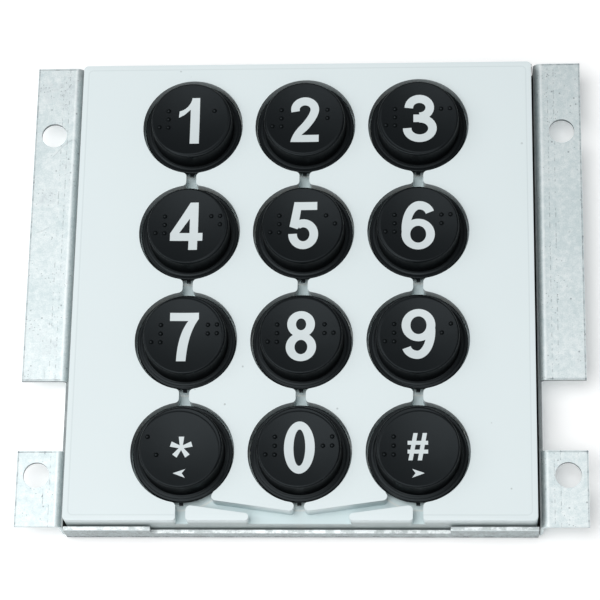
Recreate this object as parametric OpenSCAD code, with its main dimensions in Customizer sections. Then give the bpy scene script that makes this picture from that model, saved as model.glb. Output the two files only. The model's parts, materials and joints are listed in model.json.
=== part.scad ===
// Twelve-key keypad module: a white moulded front body with round wells and drain
// channels, twelve black keys with tactile dots, a silicone key mat, a circuit board
// and a folded steel tray with four fixing holes.
// It lies on its back: +Z points out of the front, +Y towards the 1-2-3 row.
// The origin is the centre of the tray's back face.

/* [Front body] */
// Width of the front body
body_w = 128; // [127:0.2:128.4]
// Height of the front body
body_h = 134.4; // [133:0.2:134.6]
// Height of the front face above the back of the tray
front_z = 15; // [14.6:0.1:17]
// Depth of the key wells and drain channels
recess_d = 4.7; // [4.5:0.1:4.8]
// Thickness of the floor under a key well
floor_t = 1.8; // [1.6:0.1:1.9]
// Radius of the body's four upright corners
body_corner_r = 1.2; // [0.6:0.1:1.8]
// Width of the bevel round the front face
bevel_w = 1.4; // [0.8:0.1:2]
// Drop of the bevel round the front face
bevel_drop = 0.1; // [0.1:0.1:0.5]

/* [Keys] */
// Distance between key centres
pitch = 32; // [31.6:0.1:32.4]
// Distance of the key grid's centre below the body's centre
grid_drop = 0.2; // [0:0.1:1]
// Diameter of a key well
well_d = 28.4; // [28:0.1:28.8]
// Diameter of a key's top face
key_d = 22.6; // [22:0.1:23]
// Diameter of a key's flange
flange_d = 27.3; // [26.8:0.1:27.4]
// Height of a key's rim above the front face
key_proud = 4.9; // [4:0.1:6]
// Depth of the shallow dish in a key's top
dish_depth = 0.7; // [0.4:0.1:0.8]
// Travel of a key when it is pressed
key_travel = 1.5; // [1:0.1:1.5]
// Diameter of a key's guide stem
stem_d = 7.84; // [7.8:0.02:7.9]
// Diameter of the guide hole in the well's floor
guide_d = 8; // [8:0.02:8.06]

/* [Legends and dots] */
// Height of a numeral
numeral_h = 14; // [12:0.5:14.5]
// Width of a numeral's strokes
stroke_w = 2.4; // [1.8:0.1:2.8]
// Depth of the white inlay that forms a legend
inlay_d = 0.8; // [0.4:0.1:1]
// Spacing between the dots of one tactile cell
dot_pitch = 2.5; // [2.4:0.1:2.6]
// Distance from the key's centre to the middle of a tactile cell
cell_x = 7.75; // [7.6:0.05:7.9]
// Height of the tactile cells' centre above the key's centre
cell_y = 0.45; // [0:0.05:0.5]
// Diameter of a tactile dot at its base
dot_d = 1.3; // [1.2:0.1:1.6]
// Height of a tactile dot
dot_h = 0.5; // [0.4:0.05:0.6]

/* [Drain channels] */
// Width of a drain channel
drain_w = 2.8; // [2.4:0.1:3.2]
// Radius where a channel opens out of a well
drain_fillet = 1.2; // [0.8:0.1:1.3]
// Slope of the two bottom troughs towards the middle, in degrees
trough_slope = 8; // [7:0.5:9]
// Width of the two bottom troughs
trough_w = 2.3; // [2:0.1:2.5]

/* [Steel tray] */
// Thickness of the steel sheet
sheet_t = 1; // [0.8:0.1:1]
// Overall width across the fixing wings
tray_w = 156; // [154:0.5:160]
// Overall height of the tray
tray_h = 137.4; // [137.2:0.1:138]
// Distance between the outer faces of the tray's side walls
wall_w = 131.4; // [131.2:0.1:132.4]
// Height of the wings' front face above the back of the tray
wing_z = 10; // [9:0.1:11]
// Outside radius of every bend
bend_r = 2.4; // [1.8:0.1:2.5]
// Lower end of the two long wings, above the body's centre
wing_y0 = -26.3; // [-30:0.1:-20]
// Upper end of the two short tabs, above the body's centre
tab_y1 = -46.4; // [-48:0.1:-44]
// Diameter of the fixing holes
hole_d = 7.2; // [6.6:0.1:8]
// Distance between the fixing holes across the module
hole_dx = 145; // [144:0.5:146]
// Distance between the fixing holes up the module
hole_dy = 101; // [100:0.5:102]
// Height of the fixing holes' centre above the body's centre
hole_cy = -2.8; // [-4:0.1:-2]
// Width of the lowered middle of the lower wall
low_wall_w = 81.4; // [60:0.2:90]
// Height of the lowered middle of the lower wall
low_wall_z = 6.6; // [5:0.1:8]

/* [Electronics] */
// Width of the circuit board
board_w = 92; // [88:1:93]
// Height of the circuit board
board_h = 126; // [120:1:127]
// Thickness of the circuit board
board_t = 1.6; // [1.5:0.1:1.6]
// Height of the circuit board's back face above the back of the tray
board_z = 2.6; // [2.6:0.1:2.7]
// Thickness of the key mat's sheet
mat_t = 1; // [0.8:0.1:1]

/* [Hidden] */
$fn = 64;
KEYS = ["1", "2", "3", "4", "5", "6", "7", "8", "9", "star", "0", "hash"];

eps = 0.01;
well_r = well_d / 2;
key_r = key_d / 2;
flange_r = flange_d / 2;
key_z = front_z + key_proud;
well_z = front_z - recess_d;
slab_z = well_z - floor_t;
board_top = board_z + board_t;
mat_top = board_top + mat_t;
stem_z = mat_top + 2;
skirt_z = sheet_t + 0.5;

bay_w = 94.4;
bay_h = 128;
core_x0 = 48.7;
core_w = 13.5;
core_h = 130.2;
core_z = front_z - 1.8;
guide_collar_r = 5.6;
guide_collar_h = 1;
mat_ring_r = [7, 8.5];
flange_top = front_z - 1.4;
dish_rim = key_r - 0.5;
glyph_y = 0.2;
inlay_z = key_z - dish_depth - inlay_d;
flange_t = 1.2;
dome_r = 5.5;
boss_r = 2.75;
board_boss_x = 43.2;
board_boss_y = 60.5;
tray_boss = [56, 58];
tray_boss_r = 3.5;
dimple_r = 6;
dimple_d = 1.6;
window = [15, 9];
window_y = 47;
pilot_r = 1.1;
tray_pilot_r = 1.45;
low_neck_fillet = 1;
trough_end_fillet = 1.2;
outlet_fillet = 0.9;
island_fillet = 0.97;
trough_mouth_x = 13.6;

function column_x(k) = ((k % 3) - 1) * pitch;
function row_y(k) = (1.5 - floor(k / 3)) * pitch - grid_drop;
function key_at(k) = [column_x(k), row_y(k)];
// Screw bosses stand in the gaps between four keys and at the board's corners.
BOSSES = concat(
    [for (x = [-0.5, 0.5], y = [-1 : 1]) [x * pitch, y * pitch - grid_drop]],
    [for (x = [-1, 1], y = [-1, 1]) [x * board_boss_x, y * board_boss_y]]);
TRAY_BOSSES = [for (x = [-1, 1], y = [-1, 1]) [x * tray_boss.x, y * tray_boss.y]];

// ---- Outline helpers ----

function unit(v) = v / norm(v);
function ring_arc(c, rx, ry, a0, a1, n = 16) =
    [for (i = [0 : n]) let (a = a0 + (a1 - a0) * i / n) c + [rx * cos(a), ry * sin(a)]];
// Points of the arc that rounds corner p, between its neighbours a and b.
function corner(a, p, b, r, n = 6) = r == 0 ? [p] :
    let (u = unit(a - p), v = unit(b - p), half = acos(u * v) / 2,
         c = p + unit(u + v) * r / sin(half), p0 = p + u * r / tan(half),
         p1 = p + v * r / tan(half), s = atan2(p0.y - c.y, p0.x - c.x),
         e = atan2(p1.y - c.y, p1.x - c.x), d = ((e - s + 540) % 360) - 180)
    [for (i = [0 : n]) c + r * [cos(s + d * i / n), sin(s + d * i / n)]];
function rounded(pts, radii) = let (n = len(pts))
    [for (i = [0 : n - 1])
        each corner(pts[(i + n - 1) % n], pts[i], pts[(i + 1) % n], radii[i])];
function heading(path, i) =
    unit(path[min(i + 1, len(path) - 1)] - path[max(i - 1, 0)]);
function shifted(path, d) = [for (i = [0 : len(path) - 1])
    let (t = heading(path, i)) path[i] + d * [-t.y, t.x]];
// A curve from a to c that bends towards b.
function curve(a, b, c, n = 10) = [for (i = [0 : n]) let (t = i / n)
    a * (1 - t) * (1 - t) + b * 2 * t * (1 - t) + c * t * t];
function reversed(path) = [for (i = [len(path) - 1 : -1 : 0]) path[i]];
// A stroke of even width along a path.
module stroke(path, w = stroke_w)
    polygon(concat(shifted(path, w / 2), reversed(shifted(path, -w / 2))));

module rounded_square(w, h, r) {
    square([w, h - 2 * r], center = true);
    square([w - 2 * r, h], center = true);
    for (x = [-1, 1], y = [-1, 1])
        translate([x * (w / 2 - r), y * (h / 2 - r)]) circle(r);
}
module ring(r_out, r_in, h) difference() {
    cylinder(r = r_out, h = h);
    translate([0, 0, -1]) cylinder(r = r_in, h = h + 2);
}
// The sharp tip between two edges that a round of radius r at c takes off.
module tip(t1, c, t2, q, r) difference() {
    polygon([t1, c, t2, q]);
    translate(c) circle(r);
}

// ---- Front body ----

// Upper edge of the bottom troughs, at distance x from the middle.
trough_y0 = -64.9;
function trough_y(x) = trough_y0 + x * tan(trough_slope);

// Rounds where a drain channel leaves a well, on one side of the channel.
module well_mouth(side, up, r = drain_fillet) {
    cx = drain_w / 2 + r;
    cy = sqrt(pow(well_r + r, 2) - cx * cx);
    scale_in = well_r / (well_r + r);
    c = [side * cx, up * cy];
    tip(c * scale_in, c, [side * drain_w / 2, up * cy],
        [0, up * (cy * scale_in - 0.5)], r);
}

// One bottom trough and its outlet, on the right-hand side.
module trough() {
    edge_x = pitch - drain_w / 2;
    foot_y = -body_h / 2;
    difference() {
        polygon([[0, foot_y - 1], [edge_x, foot_y - 1], [edge_x, -60],
                 [26.4, trough_y(26.4)], [0, trough_y(0)]]);
        drain_island(edge_x, foot_y);
    }
    // Where the trough's upper edge meets the outer key's well.
    r = drain_fillet;
    cx = pitch - 9.5;
    c = [cx, trough_y(cx) + r / cos(trough_slope)];
    well_c = [pitch, row_y(9)];
    tip(well_c + (c - well_c) * well_r / norm(c - well_c), c,
        c + r * [sin(trough_slope), -cos(trough_slope)], [27, -61.3], r);
    // Where the trough's upper edge meets the middle channel.
    n = trough_end_fillet;
    nx = drain_w / 2 + n;
    nc = [nx, trough_y(nx) + n / cos(trough_slope)];
    tip(nc + n * [sin(trough_slope), -cos(trough_slope)], nc,
        [drain_w / 2, nc.y], [0, trough_y(0) - 1], n);
    // Where the outer channel runs out at the bottom edge.
    o = outlet_fillet;
    oc = [pitch + drain_w / 2 + o, foot_y + o];
    tip([pitch + drain_w / 2, oc.y], oc, [oc.x, foot_y], [pitch, foot_y - 1], o);
}

// The raised island between a trough and the bottom edge.
module drain_island(edge_x, foot_y) {
    y0 = trough_y0 - trough_w / cos(trough_slope);
    polygon(rounded([[edge_x, foot_y], [edge_x, y0 + edge_x * tan(trough_slope)],
                     [trough_mouth_x, y0 + trough_mouth_x * tan(trough_slope)],
                     [trough_mouth_x, foot_y]],
                    [outlet_fillet, drain_fillet, island_fillet, island_fillet]));
}

module recess_outline() {
    for (k = [0 : 11]) translate(key_at(k)) {
        circle(well_r);
        if (k < 9) {
            translate([-drain_w / 2, -pitch]) square([drain_w, pitch]);
            for (side = [-1, 1]) well_mouth(side, -1);
        }
        if (k > 2) for (side = [-1, 1]) well_mouth(side, 1);
        if (k > 8) translate([-drain_w / 2, -pitch]) square([drain_w, pitch]);
    }
    translate(key_at(9)) well_mouth(-1, -1);
    translate(key_at(11)) well_mouth(1, -1);
    translate(key_at(10)) for (side = [-1, 1]) well_mouth(side, -1, low_neck_fillet);
    for (side = [0, 1]) mirror([side, 0]) trough();
}

module bevel_cuts() {
    slope = atan(bevel_drop / bevel_w);
    for (a = [0 : 90 : 270]) {
        half = (a % 180 == 0 ? body_w : body_h) / 2;
        rotate(a) translate([half - bevel_w, -100, front_z])
            rotate([0, slope, 0]) cube([bevel_w * 2, 200, 2]);
    }
}

module front_body() color([0.93, 0.95, 0.95]) difference() {
    union() {
        difference() {
            translate([0, 0, skirt_z]) linear_extrude(front_z - skirt_z)
                rounded_square(body_w, body_h, body_corner_r);
            translate([-bay_w / 2, -bay_h / 2, 0]) cube([bay_w, bay_h, slab_z]);
            for (side = [0, 1]) mirror([side, 0, 0])
                translate([core_x0, -core_h / 2, 0]) cube([core_w, core_h, core_z]);
            bevel_cuts();
        }
        for (side = [0, 1]) mirror([side, 0, 0]) for (y = [-30, 0, 30])
            translate([core_x0 - eps, y - 0.75, 3]) cube([core_w + 2 * eps, 1.5, core_z - 3 + eps]);
        for (p = TRAY_BOSSES) translate([p.x, p.y, sheet_t + dimple_d])
            cylinder(r = tray_boss_r, h = core_z - sheet_t - dimple_d + eps);
        for (p = BOSSES) translate([p.x, p.y, board_top])
            cylinder(r = boss_r, h = slab_z - board_top + eps);
        for (k = [0 : 11]) translate([key_at(k).x, key_at(k).y, mat_top])
            ring(mat_ring_r[1], mat_ring_r[0], slab_z - mat_top + eps);
    }
    difference() {
        translate([0, 0, well_z]) linear_extrude(10) recess_outline();
        for (k = [0 : 11]) translate([key_at(k).x, key_at(k).y, well_z - 1])
            cylinder(r = guide_collar_r, h = guide_collar_h + 1);
    }
    for (k = [0 : 11]) translate([key_at(k).x, key_at(k).y, slab_z - 1])
        cylinder(d = guide_d, h = 8);
    for (p = BOSSES) translate([p.x, p.y, 0]) cylinder(r = pilot_r, h = slab_z + 2.5);
    for (p = TRAY_BOSSES) translate([p.x, p.y, 0]) cylinder(r = tray_pilot_r, h = 11);
}

// ---- Keys ----

// The dish is a part of a large sphere, which meets the rim's inner edge.
dish_r = (dish_rim * dish_rim + dish_depth * dish_depth) / (2 * dish_depth);
function dish_z(r) = key_z - dish_depth + dish_r - sqrt(dish_r * dish_r - r * r);
module dish() translate([0, 0, key_z - dish_depth + dish_r]) sphere(dish_r, $fn = 200);

module key_shell() {
    edge = 0.5;
    wall_r = key_r + 0.35;
    hollow_r = key_r - 1.5;
    roof_z = key_z - 1.9;
    rim_z = flange_top - flange_t;
    stem_r = stem_d / 2;
    rotate_extrude() polygon(concat(
        [[0, stem_z], [stem_r - 0.4, stem_z], [stem_r, stem_z + 0.4], [stem_r, roof_z],
         [hollow_r, roof_z], [hollow_r, rim_z]],
        corner([hollow_r, rim_z], [flange_r, rim_z], [flange_r, flange_top], 0.3),
        corner([flange_r, rim_z], [flange_r, flange_top], [wall_r + 1.2, flange_top + 0.1], 0.4),
        [[wall_r + 1.2, flange_top + 0.1], [wall_r + 1.1, flange_top + 0.25],
         [wall_r + 0.65, flange_top + 0.4], [wall_r + 0.5, flange_top + 0.4],
         [wall_r + 0.5, flange_top - 0.2], [wall_r, flange_top - 0.2]],
        corner([wall_r, flange_top - 0.2], [key_r, key_z], [0, key_z], edge),
        [[0, key_z]]));
}
module key_hooks() {
    hook_h = slab_z - 0.15 - stem_z;
    for (a = [0, 180]) rotate(a) translate([stem_d / 2 - 0.8, 0, stem_z])
        rotate([90, 0, 0]) linear_extrude(2.4, center = true)
            polygon([[0, 0], [0.9, 0], [1.5, hook_h * 0.6], [1.5, hook_h], [0, hook_h]]);
}
module key_tab() translate([-0.53, -flange_r - 0.75, flange_top - flange_t])
    cube([1.06, 1.5, flange_t - 0.2]);

module tactile_dot(foot_z) {
    r = (dot_d * dot_d / 4 + dot_h * dot_h) / (2 * dot_h);
    translate([0, 0, foot_z + dot_h - r]) intersection() {
        sphere(r, $fn = 32);
        translate([-1, -1, r - dot_h - 0.2]) cube([2, 2, 1]);
    }
}
// Dots 1 to 3 run down the left column of a cell, dots 4 to 6 down its right.
module tactile_cell(x, dots) for (d = dots) {
    at = [x + (d > 3 ? 0.5 : -0.5) * dot_pitch, cell_y + (1 - (d - 1) % 3) * dot_pitch];
    translate(at) tactile_dot(dish_z(norm(at)));
}
NUMBER_SIGN = [3, 4, 5, 6];
NUMERAL_DOTS = [[1], [1, 2], [1, 4], [1, 4, 5], [1, 5], [1, 2, 4], [1, 2, 4, 5],
                [1, 2, 5], [2, 4], [], [2, 4, 5], []];

module key(k) color([0.13, 0.14, 0.15]) translate(key_at(k)) difference() {
    union() {
        difference() {
            key_shell();
            dish();
        }
        key_hooks();
        key_tab();
        tactile_cell(-cell_x, k == 9 ? [1, 6] : NUMBER_SIGN);
        tactile_cell(cell_x, NUMERAL_DOTS[k]);
    }
    translate([0, 0, inlay_z]) glyph(k, $depth = inlay_d + 2);
    translate([-0.5, -5, stem_z - 1]) cube([1, 10, 5.5]);
}

// ---- Legends ----

cap = numeral_h / 2;
base_y = -cap - 0.25;
top_y = cap - 0.25;

// One piece of a glyph, as thick as its place asks for.
module piece() linear_extrude($depth) children();
module bowl(c, rx, ry) piece() difference() {
    polygon(ring_arc(c, rx, ry, 9, 360, 39));
    polygon(ring_arc(c, rx - stroke_w, ry - stroke_w * 0.86, 9, 360, 39));
}
module glyph_1() piece() polygon(concat(
    [[-0.3, base_y], [2.3, base_y], [2.3, top_y], [0.1, top_y]],
    ring_arc([-4.6, 7.5], 4.8, 4.9, -15, -76, 8),
    [[-3.6, 0.8], [-2, 1.7], [-0.3, 3.3]]));
module glyph_2() {
    foot_y = base_y + 0.2;
    piece() stroke(concat(ring_arc([0.15, 2.95], 2.75, 2.5, 194, 0, 20),
                          curve([2.9, 2.7], [2.6, 0.6], [-0.4, -2.9], 8)));
    piece() polygon(concat([[4.1, foot_y], [4.1, foot_y + 2.2], [-0.8, foot_y + 2.2]],
                   [[0.5, -3.6], [-1.3, -2.1]],
                   curve([-1.6, -2.45], [-3.4, -4.6], [-3.85, foot_y], 6)));
}
module glyph_3() {
    piece() stroke(ring_arc([0.35, 3.2], 2.95, 2.65, 182, -88, 20));
    piece() stroke(ring_arc([0.5, -3.15], 3.55, 3.05, 92, -182, 22));
    piece() translate([-1.3, -1.15]) square([1.9, stroke_w * 0.95]);
}
module glyph_4() piece() difference() {
    polygon([[0.3, base_y], [2.75, base_y], [2.75, -4.5], [4.15, -4.5], [4.15, -2.15],
             [2.85, -2.15], [2.85, top_y + 0.1], [0.6, top_y + 0.1], [-4.9, -2.3],
             [-4.9, -4.5], [0.3, -4.5]]);
    polygon([[0.5, -2.15], [0.5, 2.2], [-2.4, -2.15]]);
}
module glyph_5() {
    piece() polygon([[-2.35, top_y], [4, top_y], [4, top_y - 2.3], [-0.5, top_y - 2.3],
                     [-1, 1.2], [-0.2, 0.2], [-1.45, -1.2], [-3.65, -0.45]]);
    piece() stroke(ring_arc([0.2, -2.75], 2.95, 3.3, 122, -182, 26));
}
module glyph_6() {
    bowl([0.05, -2.95], 4.6, 4.6);
    piece() stroke(concat(ring_arc([0.35, 2.75], 3.05, 2.85, 16, 86, 8),
                          ring_arc([0.35, -1.25], 3.68, 6.85, 92, 186, 15)));
}
module glyph_7() piece() translate([0, -0.5]) polygon(concat(
    [[-4.05, top_y - 2.3], [-4.05, top_y], [3.9, top_y]],
    curve([3.9, 5], [0.9, 0.9], [0.6, base_y]), curve([-2, base_y], [-1.9, 0.4], [1, top_y - 2.3])));
module glyph_8() {
    bowl([0.05, 2.85], 3.8, 3.75);
    bowl([0.1, -3.7], 4.15, 4.15);
}
module glyph_9() translate([0.2, -0.5]) rotate(180) glyph_6();
module glyph_0() piece() difference() {
    polygon(ring_arc([0.15, -0.25], 4.15, cap + 0.3, 0, 360, 48));
    polygon(ring_arc([0.15, -0.25], 1.6, cap - 1.9, 0, 360, 32));
}
module glyph_star() translate([0.2, -0.1]) for (a = [90 : 72 : 400]) rotate(a)
    piece() polygon([[0, -0.35], [3, -0.75], [3, 0.75], [0, 0.35]]);
module glyph_hash() {
    slant = 0.17;
    top = 3.8;
    lean = top * slant;
    for (x = [-1.3, 1.2]) piece() polygon([
        [x - 0.6 - lean, -top], [x + 0.55 - lean, -top],
        [x + 0.6 + lean, top], [x - 0.55 + lean, top]]);
    for (y = [-1.35, 1.1]) translate([-2.75, y - 0.55]) piece() square([5.5, 1.1]);
}
module arrowhead(side) translate([side * 0.2, -7.4])
    piece() polygon([[side * 1.65, 0], [side * -1.7, 1.2], [side * -0.8, 0], [side * -1.7, -1.3]]);

module glyph(k) translate([0, glyph_y]) {
    if (k == 0) glyph_1();
    if (k == 1) glyph_2();
    if (k == 2) glyph_3();
    if (k == 3) glyph_4();
    if (k == 4) glyph_5();
    if (k == 5) glyph_6();
    if (k == 6) glyph_7();
    if (k == 7) glyph_8();
    if (k == 8) glyph_9();
    if (k == 9) { glyph_star(); arrowhead(-1); }
    if (k == 10) glyph_0();
    if (k == 11) { glyph_hash(); arrowhead(1); }
}
module legend(k) color("white") translate(key_at(k)) difference() {
    translate([0, 0, inlay_z]) glyph(k, $depth = inlay_d + dish_depth);
    dish();
}

// ---- Key mat ----

module return_dome(k) color([0.55, 0.57, 0.58]) translate(key_at(k)) {
    top = stem_z - 0.05;
    pill_z = board_top + key_travel;
    rotate_extrude() polygon([
        [0, pill_z], [2.4, pill_z], [2.6, pill_z + 0.3], [4.7, mat_top - 0.4],
        [4.7, board_top], [dome_r, board_top], [dome_r, mat_top + 0.1],
        [3.7, top - 0.7], [3.4, top], [0, top]]);
}
module mat_sheet() color([0.5, 0.52, 0.54]) difference() {
    translate([0, 0, board_top]) linear_extrude(mat_t) rounded_square(board_w - 1, board_h - 1, 2);
    for (k = [0 : 11]) translate([key_at(k).x, key_at(k).y, 0]) cylinder(r = dome_r, h = 10);
    for (p = BOSSES) translate([p.x, p.y, 0]) cylinder(r = boss_r + 0.3, h = 10);
}

// ---- Circuit board ----

module circuit_board() color([0.1, 0.36, 0.2]) difference() {
    translate([0, 0, board_z]) linear_extrude(board_t) rounded_square(board_w, board_h, 2);
    for (p = BOSSES) translate([p.x, p.y, 0]) cylinder(r = pilot_r + 0.25, h = 10);
}
module contact_pads() color([0.85, 0.68, 0.3]) for (k = [0 : 11])
    translate([key_at(k).x, key_at(k).y, board_top]) ring(3.2, 0.4, 0.06);
// Components hang from the board's back face.
module hung_block(size, at) translate([at.x - size.x / 2, at.y - size.y / 2, board_z - size.z])
    cube(size);
module chip(body, at, pins, pin_pitch) {
    hung_block([body.x, body.y, body.z - 0.1], at);
    for (side = [-1, 1], i = [0 : pins - 1])
        hung_block([0.9, pin_pitch * 0.45, 0.3],
                   at + [side * (body.x / 2 + 0.45), (i - (pins - 1) / 2) * pin_pitch]);
}
module controller_chip() color([0.12, 0.12, 0.13]) chip([7.5, 12.8, 1.3], [0, 12], 10, 1.27);
module driver_chip() color([0.14, 0.14, 0.15]) chip([4, 5, 1.2], [0, -22], 4, 1.27);
module crystal_can() color("silver") hung_block([5, 3.2, 1.1], [9, 24]);
module chip_capacitors() color([0.72, 0.6, 0.42])
    for (p = [[-9, 6], [-9, 18], [9, 6], [12, 28], [-6, -18], [6, -18], [-8, 36], [8, 36]])
        hung_block([2, 1.25, 0.8], p);
module chip_resistors() color([0.2, 0.2, 0.22])
    for (k = [0 : 11]) hung_block([2, 1.25, 0.6],
        [column_x(k) * 1.12 + (k % 3 == 1 ? 9 : 0), row_y(k) + (k < 6 ? 4 : -4)]);
module connector_housing() color([0.93, 0.92, 0.86]) difference() {
    hung_block([12.4, 6.2, 2.3], [0, window_y]);
    translate([-5.4, window_y - 2.3, 0]) cube([10.8, 4.6, 1.9]);
}
module connector_pins() color([0.85, 0.7, 0.35]) for (i = [-2.5 : 2.5])
    translate([i * 1.5 - 0.25, window_y - 0.25, 0.7]) cube([0.5, 0.5, 1.2]);

// ---- Screws ----

module screw(head_r, head_h, shank_r, shank_h) {
    difference() {
        translate([0, 0, -head_h]) cylinder(r = head_r, h = head_h);
        for (a = [0, 90]) rotate(a) translate([-head_r * 0.6, -0.25, -head_h - 1])
            cube([head_r * 1.2, 0.5, 1.7]);
    }
    cylinder(r = shank_r, h = shank_h);
}
module board_screws() color("silver") for (p = BOSSES)
    translate([p.x, p.y, board_z]) screw(2.2, 1.2, pilot_r - 0.05, 7);
module tray_screws() color("silver") for (p = TRAY_BOSSES)
    translate([p.x, p.y, dimple_d]) screw(2.8, 1.4, tray_pilot_r - 0.05, 8);

// ---- Rear tray ----

wall_x = wall_w / 2;
end_y = tray_h / 2;
bend_in = bend_r - sheet_t;
end_wall_x = wall_x - sheet_t - 0.3;

// A quarter of a bend: its centre at c, in the quadrant that sx and sy point to.
module bend_quarter(c, sx, sy) translate(c) intersection() {
    difference() {
        circle(bend_r);
        circle(bend_in);
    }
    translate([sx < 0 ? -bend_r : 0, sy < 0 ? -bend_r : 0]) square(bend_r);
}
// Section of a wall folded up from the back: the wall's outer face is at x = out.
module wall_section(out, rim) {
    bend_quarter([out - bend_r, bend_r], 1, -1);
    translate([out - sheet_t, bend_r]) square([sheet_t, rim - bend_r]);
}
// Section of a side wall that carries a wing.
module wing_section() {
    wall_section(wall_x, wing_z - bend_r);
    bend_quarter([wall_x - sheet_t + bend_r, wing_z - bend_r], -1, 1);
    translate([wall_x - sheet_t + bend_r, wing_z - sheet_t])
        square([tray_w / 2 - wall_x + sheet_t - bend_r, sheet_t]);
}
// Stretches a section from y0 to y1 along Y.
module along_y(y0, y1) translate([0, y1, 0]) rotate([90, 0, 0]) linear_extrude(y1 - y0)
    children();
// Stretches a section from x0 to x1 along X, for a wall that faces -Y.
module along_x(x0, x1) rotate(-90) along_y(x0, x1) children();

module side_wall() {
    side_y0 = -end_y + 1;
    along_y(side_y0, end_y - 1) wall_section(wall_x, wing_z - sheet_t);
    along_y(wing_y0, end_y) wing_section();
    along_y(side_y0, tab_y1) wing_section();
}
module lower_wall() {
    step = low_wall_w / 2;
    along_x(-end_wall_x, -step) wall_section(end_y, wing_z);
    along_x(-step, step) wall_section(end_y, low_wall_z);
    along_x(step, end_wall_x) wall_section(end_y, wing_z);
}
module rear_tray() color([0.74, 0.78, 0.8]) difference() {
    union() {
        difference() {
            translate([0, 0, sheet_t / 2])
                cube([wall_w - 2 * bend_r, tray_h - 2 * bend_r, sheet_t], center = true);
            for (p = TRAY_BOSSES) translate([p.x, p.y, -1]) cylinder(r = dimple_r - sheet_t, h = 3);
        }
        for (p = TRAY_BOSSES) translate([p.x, p.y, 0]) {
            ring(dimple_r, dimple_r - sheet_t, sheet_t + dimple_d);
            translate([0, 0, dimple_d]) cylinder(r = dimple_r - sheet_t / 2, h = sheet_t);
        }
        for (side = [0, 1]) mirror([side, 0, 0]) side_wall();
        lower_wall();
        rotate(180) along_x(-end_wall_x, end_wall_x) wall_section(end_y, wing_z);
    }
    for (x = [-1, 1], y = [-1, 1])
        translate([x * hole_dx / 2, hole_cy + y * hole_dy / 2, wing_z - 3])
            cylinder(d = hole_d, h = 6);
    for (p = TRAY_BOSSES) translate([p.x, p.y, 0]) cylinder(r = tray_pilot_r + 0.2, h = 5);
    translate([-window.x / 2, window_y - window.y / 2, -1]) cube([window.x, window.y, 3]);
}

// ---- Assembly ----

rear_tray();
front_body();
mat_sheet();
for (k = [0 : 11]) {
    return_dome(k);
    key(k);
    legend(k);
}
circuit_board();
contact_pads();
controller_chip();
driver_chip();
crystal_can();
chip_capacitors();
chip_resistors();
connector_housing();
connector_pins();
board_screws();
tray_screws();
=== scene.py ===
"""Looks of the twelve-key keypad module: the moulded front, the keys, the folded steel tray
and the parts behind them, with a pale floor, soft light and one camera."""

import json
import math

import bpy
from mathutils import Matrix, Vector


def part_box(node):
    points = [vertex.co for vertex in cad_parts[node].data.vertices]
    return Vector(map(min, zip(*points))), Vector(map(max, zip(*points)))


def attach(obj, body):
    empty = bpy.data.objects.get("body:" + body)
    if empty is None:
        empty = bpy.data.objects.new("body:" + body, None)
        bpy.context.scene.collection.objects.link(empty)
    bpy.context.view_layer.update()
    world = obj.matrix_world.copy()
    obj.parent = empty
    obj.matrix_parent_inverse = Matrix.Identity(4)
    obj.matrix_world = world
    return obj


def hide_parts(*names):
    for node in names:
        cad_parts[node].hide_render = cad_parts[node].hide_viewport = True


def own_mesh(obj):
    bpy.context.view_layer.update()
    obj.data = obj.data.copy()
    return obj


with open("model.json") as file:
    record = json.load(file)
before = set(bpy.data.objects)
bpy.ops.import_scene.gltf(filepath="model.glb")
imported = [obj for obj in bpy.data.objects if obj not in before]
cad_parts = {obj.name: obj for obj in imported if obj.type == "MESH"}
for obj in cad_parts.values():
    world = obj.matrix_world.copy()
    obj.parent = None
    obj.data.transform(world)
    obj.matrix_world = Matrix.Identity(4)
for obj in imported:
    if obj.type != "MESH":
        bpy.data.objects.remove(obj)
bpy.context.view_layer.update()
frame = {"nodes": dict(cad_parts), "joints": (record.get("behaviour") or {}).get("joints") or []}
NODES = frame["nodes"]
MM = 0.001

BODY_LOW, BODY_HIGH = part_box("front_body")
TRAY_LOW, TRAY_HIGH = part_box("rear_tray")
BODY_MIDDLE = (BODY_LOW.y + BODY_HIGH.y) / 2
BODY_HALF_WIDTH = (BODY_HIGH.x - BODY_LOW.x) / 2
BODY_HALF_HEIGHT = (BODY_HIGH.y - BODY_LOW.y) / 2
FRONT_Z = BODY_HIGH.z
WELL_RADIUS = 14.2 * MM
WELL_FLOOR_Z = FRONT_Z - 4.7 * MM

# The tray: the ends of its wings and tabs, the outer face of its side walls, and the inner
# face of its upper and lower walls.
WING_FOOT = -26.3 * MM
TAB_HEAD = -46.4 * MM
WALL_X = 65.7 * MM
END_WALL_Y = 67.7 * MM

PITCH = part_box("legend_4")[0].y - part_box("legend_7")[0].y
KEY_NAMES = [joint["name"][len("press_"):] for joint in frame["joints"]]
KEY_MIDDLES = [(low + high) / 2 for low, high in (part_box("key_" + name) for name in KEY_NAMES)]

# The radii that moulding and blanking leave, and the drains' floor fillet.
DRAIN_FILLET = 0.9 * MM
FRONT_RADIUS = 0.26 * MM
RUBBER_RADIUS = 0.1 * MM
BLANKING_RADIUS = 0.12 * MM

COOL_WHITE = (0.97, 0.99, 1.0, 1.0)
CAMERA_PLACE = (0.042574, -0.232990, 0.657654)
CAMERA_ANGLES = (19.587, 3.513, 0.945)
CAMERA_LENS, CAMERA_SENSOR = 148.3, 36


# ---- Mesh work ----

def only(piece):
    """Selects one piece alone and makes it the active one."""
    if bpy.context.object and bpy.context.object.mode != "OBJECT":
        bpy.ops.object.mode_set(mode="OBJECT")
    bpy.ops.object.select_all(action="DESELECT")
    bpy.context.view_layer.objects.active = piece
    piece.select_set(True)


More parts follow.
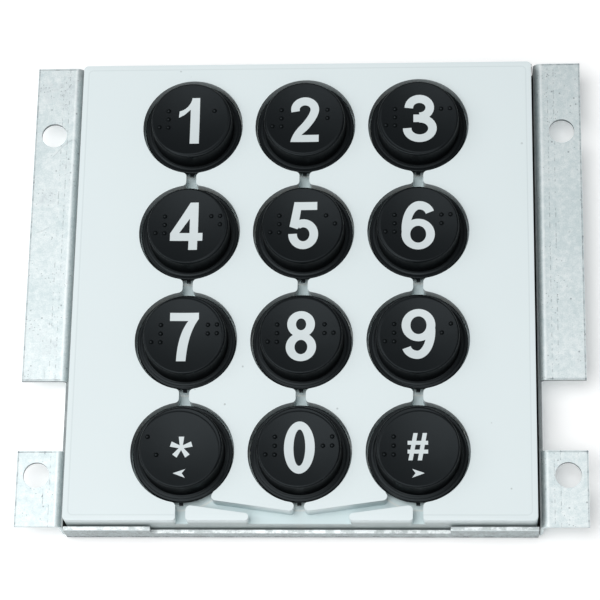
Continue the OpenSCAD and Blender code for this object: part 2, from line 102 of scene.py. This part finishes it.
def apply_modifier(piece, kind, **settings):
    only(piece)
    modifier = piece.modifiers.new(kind.lower(), kind)
    for name, value in settings.items():
        setattr(modifier, name, value)
    bpy.ops.object.modifier_apply(modifier=modifier.name)


def merged_copy(node, name):
    """A copy of a CAD node as one closed skin, its flats joined again."""
    piece = NODES[node].copy()
    piece.data = NODES[node].data.copy()
    piece.name = piece.data.name = name
    for key in list(piece.keys()):
        del piece[key]
    piece.parent = None
    bpy.context.collection.objects.link(piece)
    only(piece)
    bpy.ops.object.mode_set(mode="EDIT")
    bpy.ops.mesh.select_all(action="SELECT")
    bpy.ops.mesh.remove_doubles(threshold=0.003 * MM)
    bpy.ops.mesh.customdata_custom_splitnormals_clear()
    bpy.ops.mesh.dissolve_limited(angle_limit=math.radians(0.4))
    bpy.ops.object.mode_set(mode="OBJECT")
    return piece


def round_edges(piece, width, segments, test):
    """Rounds the sharp edges that pass the test."""
    only(piece)
    bpy.ops.object.mode_set(mode="EDIT")
    bpy.ops.mesh.select_mode(type="EDGE")
    bpy.ops.mesh.select_all(action="DESELECT")
    bpy.ops.mesh.edges_select_sharp(sharpness=math.radians(35))
    bpy.ops.object.mode_set(mode="OBJECT")
    mesh = piece.data
    for edge in mesh.edges:
        if edge.select:
            edge.select = test(*(mesh.vertices[v].co for v in edge.vertices))
    bpy.ops.object.mode_set(mode="EDIT")
    bpy.ops.mesh.bevel(offset=width, segments=segments, profile=0.5, clamp_overlap=True)
    bpy.ops.object.mode_set(mode="OBJECT")


def smooth(piece):
    """Shades the curves smooth and keeps the flats flat."""
    only(piece)
    bpy.ops.object.shade_smooth_by_angle(angle=math.radians(32))
    apply_modifier(piece, "WEIGHTED_NORMAL", keep_sharp=True)


# ---- Finishes ----

class Wire:
    """A number on its way through a finish's nodes; sums and products add Math nodes."""

    def __init__(self, finish, socket):
        self.finish = finish
        self.socket = socket

    def math(self, operation, *others, clamp=False):
        return self.finish.node("ShaderNodeMath", {"operation": operation, "use_clamp": clamp},
                                dict(enumerate((self, *others))))

    def __add__(self, other):
        return self.math("ADD", other)

    def __sub__(self, other):
        return self.math("SUBTRACT", other)

    def __rsub__(self, other):
        return (self * -1.0) + other

    def __mul__(self, other):
        return self.math("MULTIPLY", other)

    def __truediv__(self, other):
        return self.math("DIVIDE", other)

    __radd__ = __add__
    __rmul__ = __mul__

    def size(self):
        """The number without its sign."""
        return self.math("ABSOLUTE")

    def least(self, other):
        return self.math("MINIMUM", other)

    def most(self, other):
        return self.math("MAXIMUM", other)

    def steps(self, low, high):
        """0 below low, 1 above high, and a soft rise between them."""
        return self.finish.node(
            "ShaderNodeMapRange", {"interpolation_type": "SMOOTHSTEP", "clamp": True},
            {"Value": self, "From Min": low, "From Max": high})

    def near(self, centre, reach):
        """1 where the number is at centre, falling to 0 a reach away."""
        return 1 - (self - centre).size().steps(0.0, reach)


class Finish:
    """One material: a Principled shader with constants, fed by the nodes that vary it."""

    def __init__(self, name, colour, roughness, metallic=0.0, **constants):
        self.material = bpy.data.materials.new(name)
        self.material.use_nodes = True
        self.tree = self.material.node_tree
        self.shader = self.tree.nodes["Principled BSDF"]
        self.set("Base Color", (*colour, 1.0))
        self.set("Roughness", roughness)
        self.set("Metallic", metallic)
        for socket, value in constants.items():
            self.set(socket.replace("_", " "), value)
        self.place = self.node("ShaderNodeTexCoord", out="Object")

    def set(self, socket, value):
        self.feed(self.shader.inputs[socket], value)

    def feed(self, socket, value):
        if isinstance(value, Wire):
            self.tree.links.new(value.socket, socket)
        else:
            socket.default_value = value

    def node(self, kind, settings=None, sockets=None, out=0):
        node = self.tree.nodes.new(kind)
        for name, value in (settings or {}).items():
            setattr(node, name, value)
        for name, value in (sockets or {}).items():
            self.feed(node.inputs[name], value)
        return Wire(self, node.outputs[out])

    def xyz(self):
        """The place on the object, as three numbers in metres."""
        split = self.node("ShaderNodeSeparateXYZ", sockets={"Vector": self.place})
        return [Wire(self, output) for output in split.socket.node.outputs]

    def noise(self, scale, detail=3.0, roughness=0.5, stretch=(1, 1, 1)):
        place = self.node("ShaderNodeMapping", sockets={"Vector": self.place, "Scale": stretch})
        return self.node("ShaderNodeTexNoise", sockets={
            "Vector": place, "Scale": scale, "Detail": detail, "Roughness": roughness})

    def cells(self, scale, feature="F1", randomness=1.0):
        return self.node("ShaderNodeTexVoronoi", {"feature": feature}, {
            "Vector": self.place, "Scale": scale, "Randomness": randomness}, "Distance")

    def mix(self, factor, first, second):
        """A colour between two others."""
        colours = [c if isinstance(c, Wire) else (*c, 1.0) for c in (first, second)]
        return self.node("ShaderNodeMix", {"data_type": "RGBA"},
                         {0: factor, 6: colours[0], 7: colours[1]}, 2)

    def bump(self, height, distance, strength=1.0):
        return self.node("ShaderNodeBump", sockets={
            "Height": height, "Distance": distance, "Strength": strength})


def frame_distance(x, y):
    """Distance outside the rounded border that runs just inside the front's edge, in metres."""
    border, radius = 1.5 * MM, 1.3 * MM
    across = x.size() - (BODY_HALF_WIDTH - border - radius)
    along = (y - BODY_MIDDLE).size() - (BODY_HALF_HEIGHT - border - radius)
    corner = (across.most(0.0) * across.most(0.0) + along.most(0.0) * along.most(0.0)).math("SQRT")
    return corner + across.most(along).least(0.0) - radius


def white_moulding():
    """Cool white moulded plastic, finely grained, with a faint border line and a few specks.

    The deeper tint low in the wells and drains, the warm tint on the well walls and the dark
    lower sides go by position. They stand in for shade that the studio light doesn't give.
    """
    finish = Finish("white_moulding", (0.72, 0.79, 0.80), 0.42, IOR=1.46)
    x, y, z = finish.xyz()
    cloud = finish.noise(22, 3)
    grain = finish.noise(3600, 2)
    colour = finish.mix(cloud, (0.695, 0.775, 0.79), (0.735, 0.815, 0.83))
    depth = 1 - z.steps(FRONT_Z - 4.4 * MM, FRONT_Z - 0.6 * MM)
    colour = finish.mix(depth, colour, (0.57, 0.675, 0.69))
    well_wall = key_rings(finish).near(WELL_RADIUS, 0.4 * MM) * depth.steps(0.0, 0.2)
    colour = finish.mix(well_wall * 0.4, colour, (0.80, 0.77, 0.71))
    outer = x.size().most((y - BODY_MIDDLE).size() - (BODY_HALF_HEIGHT - BODY_HALF_WIDTH))
    on_side = outer.steps(BODY_HALF_WIDTH - 0.3 * MM, BODY_HALF_WIDTH - 0.15 * MM)
    skirt = (1 - z.steps(FRONT_Z - 4 * MM, FRONT_Z - 1.2 * MM)) * on_side
    colour = finish.mix(skirt * 0.45, colour, (0.22, 0.23, 0.215))
    border = frame_distance(x, y).near(0.0, 0.3 * MM) * z.steps(FRONT_Z - 0.5 * MM, FRONT_Z - 0.3 * MM)
    border = border * x.size().steps(33 * MM, 33.2 * MM).most(y.steps(-60 * MM, -59.8 * MM))
    colour = finish.mix(border * 0.2, colour, (0.36, 0.42, 0.44))
    near_speck = finish.cells(260).steps(0.11, 0.06)
    speck = near_speck * finish.noise(150, 1).steps(0.66, 0.70)
    colour = finish.mix(speck * 0.5, colour, (0.25, 0.28, 0.28))
    finish.set("Base Color", colour)
    finish.set("Roughness", 0.38 + grain * 0.14)
    finish.set("Normal", finish.bump(grain * 0.01 - border * 0.03, MM, 0.5))
    return finish.material


def key_rings(finish):
    """Distance from the middle of the nearest key, in metres."""
    x, y, _ = finish.xyz()
    row = (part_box("legend_8")[0].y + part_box("legend_8")[1].y) / 2
    across = x - (x / PITCH).math("ROUND") * PITCH
    along = y - row
    along = along - (along / PITCH).math("ROUND") * PITCH
    return (across * across + along * along).math("SQRT")


def black_key_plastic():
    """Near-black satin plastic, with a fine spark grain that touch has polished a little.

    Two slopes are in the bump alone: the flange's fall, and the roll at the rim of the top.
    """
    finish = Finish("black_key_plastic", (0.004, 0.0045, 0.005), 0.5, IOR=1.47,
                    Specular_IOR_Level=0.22, Specular_Tint=(0.82, 0.94, 1.0, 1.0))
    radius = key_rings(finish)
    grain = finish.noise(4200, 2)
    cloud = finish.noise(140, 4)
    handled = (1 - radius.steps(2 * MM, 10 * MM)) * cloud
    finish.set("Base Color", finish.mix(cloud, (0.002, 0.0028, 0.0034), (0.0032, 0.0042, 0.005)))
    finish.set("Roughness", 0.38 + grain * 0.10 - handled * 0.06)
    flange = (radius - 12.8 * MM).most(0.0) * 0.26
    rolled_rim = radius.steps(10.75 * MM, 11.3 * MM) * (-0.1 * MM)
    finish.set("Normal", finish.bump(grain * (0.007 * MM) + flange + rolled_rim, 1.0))
    return finish.material


def legend_plastic():
    """The white second shot, as finely grained as the key round it."""
    finish = Finish("legend_plastic", (0.82, 0.86, 0.865), 0.45)
    grain = finish.noise(4200, 2)
    cloud = finish.noise(160, 2)
    finish.set("Base Color", finish.mix(cloud, (0.585, 0.65, 0.665), (0.64, 0.70, 0.715)))
    finish.set("Roughness", 0.4 + grain * 0.14)
    finish.set("Normal", finish.bump(grain, 0.01 * MM, 0.5))
    return finish.material


def galvanised_sheet():
    """Zinc-coated sheet: mottled skin, faint stains, scratches, pits, and marks beside the bends.

    The darkening on the upper and lower walls and the near-black inner side walls go by position
    and are painted shade; the light band on the bends is a painted highlight.
    """
    finish = Finish("galvanised_sheet", (0.66, 0.71, 0.72), 0.6, metallic=1.0)
    x, y, z = finish.xyz()
    side, end = x.size(), y.size()
    frost = finish.noise(2600, 3, 0.7)
    mottle = finish.noise(620, 5, 0.7)
    cloud = finish.noise(60, 5, 0.65)
    tone = 0.35 * frost + 0.4 * mottle + 0.25 * cloud
    colour = finish.mix(tone.steps(0.36, 0.64), (0.575, 0.66, 0.675), (0.79, 0.835, 0.84))
    stain = cloud.steps(0.56, 0.66) * mottle.steps(0.40, 0.62)
    colour = finish.mix(stain * 0.45, colour, (0.38, 0.45, 0.48))
    broken = finish.noise(700, 3, 0.6, stretch=(0.6, 1, 1)).steps(0.48, 0.6)
    marks = side.near(70.4 * MM, 0.2 * MM) + side.near(68.7 * MM, 0.2 * MM)
    rims = side.near(TRAY_HIGH.x - 0.3 * MM, 0.3 * MM)
    for level in (WING_FOOT + 0.35 * MM, TAB_HEAD - 0.35 * MM, TRAY_LOW.y + 0.35 * MM,
                  TRAY_HIGH.y - 0.35 * MM):
        rims = rims + y.near(level, 0.3 * MM) * side.steps(66.5 * MM, 67 * MM)
    scratches = finish.noise(34, 2).near(0.5, 0.006) * finish.noise(75, 2).steps(0.54, 0.60)
    pits = finish.cells(420).steps(0.15, 0.07) * finish.noise(80, 2).steps(0.48, 0.56)
    dots = finish.cells(1100).steps(0.22, 0.12) * finish.noise(120, 2).steps(0.52, 0.6)
    dark = (marks * broken * 0.55 + rims * (0.4 + 0.45 * broken) + (pits + dots) * 0.65
            + scratches * 0.25)
    colour = finish.mix(dark.least(1.0), colour, (0.22, 0.26, 0.28))
    # Painted highlight: a light band along the bends.
    colour = finish.mix(side.near(66.9 * MM, 0.6 * MM) * 0.4 * z.steps(9 * MM, 9.5 * MM),
                        colour, (0.95, 0.98, 0.98))
    # Painted shade on the outer faces of the upper and lower walls: darker towards their foot,
    # mottled, with a press line at 3 mm.
    outer_wall = (end.steps(TRAY_HIGH.y - 1.2 * MM, TRAY_HIGH.y - 0.4 * MM)
                  * (1 - side.steps(WALL_X - 0.8 * MM, WALL_X)))
    press_line = z.near(3.1 * MM, 0.3 * MM) * broken
    low = 0.55 + 0.3 * (1 - z.steps(2.6 * MM, 3.6 * MM)) + 0.3 * press_line
    painted_wall_shade = outer_wall * low * (0.55 + 0.7 * (0.5 * mottle + 0.5 * frost).steps(0.38, 0.62))
    painted_wall_shade = painted_wall_shade * (1 - z.steps(9.0 * MM, 9.8 * MM))
    colour = finish.mix(painted_wall_shade.least(1.0), colour, (0.12, 0.14, 0.145))
    # Painted shade: near-black on the inner faces of the side walls, down in the gap.
    gap = (1 - side.steps(WALL_X - 1.0 * MM, WALL_X - 0.5 * MM)) * z.steps(1.2 * MM, 2 * MM)
    gap = gap * side.steps(WALL_X - 2 * MM, WALL_X - 1.5 * MM)
    gap = gap * (1 - end.steps(END_WALL_Y - 0.1 * MM, END_WALL_Y + 0.1 * MM))
    colour = finish.mix(gap * 0.9, colour, (0.035, 0.033, 0.03))
    finish.set("Base Color", colour)
    finish.set("Roughness", 0.52 + 0.16 * frost)
    finish.set("Normal", finish.bump(frost * 0.6 + mottle * 0.4, 0.02 * MM, 0.5))
    return finish.material


def cut_steel():
    """The bare edge that a shear leaves: lined and patchy; painted shade darkens it on the wings, tabs
    and holes, so it is brightest on the upper and lower walls.
    """
    finish = Finish("cut_steel", (0.8, 0.84, 0.85), 0.3, metallic=1.0)
    x, _, _ = finish.xyz()
    lines = finish.noise(2600, 3, 0.6, stretch=(1, 1, 0.15))
    patches = finish.noise(420, 4, 0.65).steps(0.42, 0.58)
    colour = finish.mix(0.5 * lines + 0.5 * patches, (0.30, 0.335, 0.34), (0.80, 0.835, 0.84))
    # Painted shade: darker beyond 64.5 mm from the middle, on the wings, tabs and round the holes.
    finish.set("Base Color", finish.mix(x.size().steps(64.4 * MM, 64.6 * MM) * 0.85, colour,
                                        (0.14, 0.16, 0.165)))
    finish.set("Roughness", 0.35 + lines * 0.25)
    finish.set("Normal", finish.bump(lines, 0.02 * MM, 0.5))
    return finish.material


def plated_screw():
    """Bright zinc plate with a fine mottle."""
    finish = Finish("plated_screw", (0.68, 0.69, 0.7), 0.22, metallic=1.0)
    wear = finish.noise(1400, 4, 0.6)
    finish.set("Base Color", finish.mix(wear, (0.5, 0.52, 0.56), (0.82, 0.82, 0.8)))
    finish.set("Roughness", 0.16 + wear * 0.22)
    finish.set("Normal", finish.bump(wear, 0.01 * MM, 0.4))
    return finish.material


def grey_silicone():
    finish = Finish("grey_silicone", (0.45, 0.48, 0.5), 0.55, IOR=1.41,
                    Subsurface_Weight=0.15, Subsurface_Scale=0.002)
    bloom = finish.noise(260, 4)
    finish.set("Base Color", finish.mix(bloom, (0.40, 0.43, 0.45), (0.50, 0.53, 0.55)))
    finish.set("Roughness", 0.45 + bloom * 0.25)
    finish.set("Normal", finish.bump(bloom, 0.02 * MM, 0.3))
    return finish.material


def green_board():
    """Solder mask over copper tracks."""
    finish = Finish("green_board", (0.02, 0.16, 0.07), 0.3, IOR=1.5)
    tracks = finish.cells(420, feature="DISTANCE_TO_EDGE", randomness=0.35)
    track = tracks.steps(0.12, 0.07)
    weave = finish.noise(1800, 2)
    colour = finish.mix(track, (0.012, 0.11, 0.045), (0.03, 0.21, 0.085))
    finish.set("Base Color", finish.mix(weave * 0.35, colour, (0.01, 0.08, 0.035)))
    finish.set("Roughness", 0.24 + weave * 0.14)
    finish.set("Normal", finish.bump(track, 0.035 * MM, 0.6))
    return finish.material


def gold_plate():
    finish = Finish("gold_plate", (0.83, 0.6, 0.24), 0.25, metallic=1.0)
    haze = finish.noise(900, 4)
    finish.set("Base Color", finish.mix(haze, (0.74, 0.52, 0.2), (0.9, 0.69, 0.32)))
    finish.set("Roughness", 0.2 + haze * 0.18)
    return finish.material


def chip_package(name, half_width):
    """Black moulding compound on the body, tinned metal on the legs beside it."""
    finish = Finish(name, (0.02, 0.02, 0.022), 0.6)
    x, _, _ = finish.xyz()
    grain = finish.noise(2400, 3)
    leg = x.size().steps(half_width + 0.02 * MM, half_width + 0.05 * MM)
    body = finish.mix(grain, (0.014, 0.014, 0.016), (0.035, 0.035, 0.038))
    finish.set("Base Color", finish.mix(leg, body, (0.62, 0.63, 0.64)))
    finish.set("Metallic", leg)
    finish.set("Roughness", 0.5 + grain * 0.25 - leg * 0.25)
    finish.set("Normal", finish.bump(grain, 0.015 * MM, 0.5))
    return finish.material


def resistor_glaze():
    """Dark glazed film over a ceramic chip."""
    finish = Finish("resistor_glaze", (0.03, 0.03, 0.035), 0.35)
    grain = finish.noise(1800, 3)
    finish.set("Base Color", finish.mix(grain, (0.018, 0.018, 0.022), (0.05, 0.05, 0.055)))
    finish.set("Roughness", 0.28 + grain * 0.2)
    return finish.material


def tin_can():
    finish = Finish("tin_can", (0.7, 0.71, 0.72), 0.3, metallic=1.0)
    brush = finish.noise(1100, 3, stretch=(0.2, 3, 1))
    finish.set("Base Color", finish.mix(brush, (0.58, 0.59, 0.6), (0.8, 0.81, 0.82)))
    finish.set("Roughness", 0.22 + brush * 0.2)
    return finish.material


def capacitor_ceramic():
    """Tan fired ceramic, a little uneven in tone."""
    finish = Finish("capacitor_ceramic", (0.5, 0.36, 0.2), 0.5)
    grain = finish.noise(1500, 3)
    finish.set("Base Color", finish.mix(grain, (0.42, 0.3, 0.17), (0.58, 0.44, 0.27)))
    finish.set("Roughness", 0.4 + grain * 0.2)
    return finish.material


def connector_nylon():
    finish = Finish("connector_nylon", (0.8, 0.77, 0.66), 0.45, IOR=1.5)
    grain = finish.noise(1900, 2)
    cloud = finish.noise(120, 2)
    finish.set("Base Color", finish.mix(cloud, (0.75, 0.72, 0.6), (0.84, 0.82, 0.73)))
    finish.set("Roughness", 0.38 + grain * 0.18)
    finish.set("Normal", finish.bump(grain, 0.012 * MM, 0.5))
    return finish.material


def paint(node, material):
    NODES[node].data.materials.clear()
    NODES[node].data.materials.append(material)


# ---- Pieces ----

def from_key(place):
    """Distance from the middle of the nearest key."""
    return min(math.hypot(place.x - middle.x, place.y - middle.y) for middle in KEY_MIDDLES)


def in_drain_floor(a, b):
    """Is this an edge at the foot of a well's or a drain's wall?"""
    on_floor = max(abs(a.z - WELL_FLOOR_Z), abs(b.z - WELL_FLOOR_Z)) < 0.05 * MM
    return on_floor and min(from_key(a), from_key(b)) > 10 * MM


def front_plate(material):
    """The front moulding, with filleted drain floors and a small radius on every front edge."""
    piece = merged_copy("front_body", "front_plate")
    round_edges(piece, DRAIN_FILLET, 4, in_drain_floor)
    round_edges(piece, FRONT_RADIUS, 3, lambda a, b: min(a.z, b.z) > FRONT_Z - 0.9 * MM)
    smooth(piece)
    piece.data.materials.clear()
    piece.data.materials.append(material)
    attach(piece, "root")
    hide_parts("front_body")


def is_cut(place, normal):
    """Is this face of the tray one that the shear or the punch has cut?"""
    wing_edge = abs(place.x) > 66.3 * MM and place.z > 8.8 * MM and abs(normal.z) < 0.5
    wall_rim = abs(place.x) < WALL_X + 0.05 * MM and normal.z > 0.95 and place.z > 6 * MM
    wall_end = abs(normal.x) > 0.9 and abs(place.y) > END_WALL_Y and place.z > 2 * MM
    return wing_edge or wall_rim or wall_end


def steel_tray(sheet, edge):
    """The folded tray, with the slight roll-over that blanking leaves on its cut edges."""
    piece = merged_copy("rear_tray", "steel_tray")
    piece.data.materials.clear()
    piece.data.materials.append(sheet)
    piece.data.materials.append(edge)
    for face in piece.data.polygons:
        face.material_index = int(is_cut(face.center, face.normal))
    round_edges(piece, BLANKING_RADIUS, 2, lambda a, b: True)
    smooth(piece)
    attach(piece, "root")
    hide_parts("rear_tray")


def rubber_piece(node, name, material):
    """A moulded silicone piece, with the small radius that its mould leaves on every edge."""
    piece = merged_copy(node, name)
    round_edges(piece, RUBBER_RADIUS, 2, lambda a, b: True)
    smooth(piece)
    piece.data.materials.clear()
    piece.data.materials.append(material)
    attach(piece, "root")
    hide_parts(node)
    return piece


def key_mat(material):
    """The silicone mat: its sheet, and twelve domes, each with a mesh of its own."""
    rubber_piece("mat_sheet", "mat_skin", material)
    for name in KEY_NAMES:
        dome = rubber_piece("return_dome_" + name, "spring_dome_" + name, material)
        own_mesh(dome)


def dress_nodes():
    """Gives each carried-over CAD node its finish."""
    black, white = black_key_plastic(), legend_plastic()
    for name in KEY_NAMES:
        paint("key_" + name, black)
        paint("legend_" + name, white)
    gold, screw = gold_plate(), plated_screw()
    finishes = {"circuit_board": green_board(), "contact_pads": gold,
                "controller_chip": chip_package("controller_package", 3.75 * MM),
                "driver_chip": chip_package("driver_package", 2 * MM), "crystal_can": tin_can(),
                "chip_capacitors": capacitor_ceramic(), "chip_resistors": resistor_glaze(),
                "connector_housing": connector_nylon(), "connector_pins": gold,
                "board_screws": screw, "tray_screws": screw}
    for node, material in finishes.items():
        paint(node, material)


# ---- Studio ----

def floor():
    """A pale floor just behind the tray, which glows slightly so that it stays white."""
    bpy.ops.mesh.primitive_plane_add(size=6, location=(0, 0, TRAY_LOW.z - 0.05 * MM))
    ground = bpy.context.object
    ground.name = "floor"
    finish = Finish("pale_floor", (0.9, 0.9, 0.9), 0.8, Emission_Strength=0.2)
    finish.set("Emission Color", COOL_WHITE)
    ground.data.materials.append(finish.material)


def soft_light(name, place, size, power):
    bpy.ops.object.light_add(type="AREA", location=place)
    lamp = bpy.context.object
    lamp.name = name
    lamp.data.size = size
    lamp.data.energy = power
    lamp.rotation_euler = (-Vector(place)).to_track_quat("-Z", "Y").to_euler()


def studio():
    world = bpy.data.worlds.new("studio")
    bpy.context.scene.world = world
    world.use_nodes = True
    sky = world.node_tree.nodes["Background"]
    sky.inputs["Color"].default_value = COOL_WHITE
    sky.inputs["Strength"].default_value = 0.17
    soft_light("main_softbox", (-0.34, -0.26, 1.42), 1.3, 22.2)
    soft_light("side_softbox", (-1.05, 0.10, 0.85), 0.7, 2.2)
    bpy.context.scene.view_settings.view_transform = "Standard"


def camera():
    data = bpy.data.cameras.new("camera")
    data.lens = CAMERA_LENS
    data.sensor_width = CAMERA_SENSOR
    viewer = bpy.data.objects.new("camera", data)
    viewer.location = CAMERA_PLACE
    viewer.rotation_euler = [math.radians(a) for a in CAMERA_ANGLES]
    bpy.context.scene.collection.objects.link(viewer)
    bpy.context.scene.camera = viewer


camera()
floor()
studio()
front_plate(white_moulding())
steel_tray(galvanised_sheet(), cut_steel())
key_mat(grey_silicone())
dress_nodes()
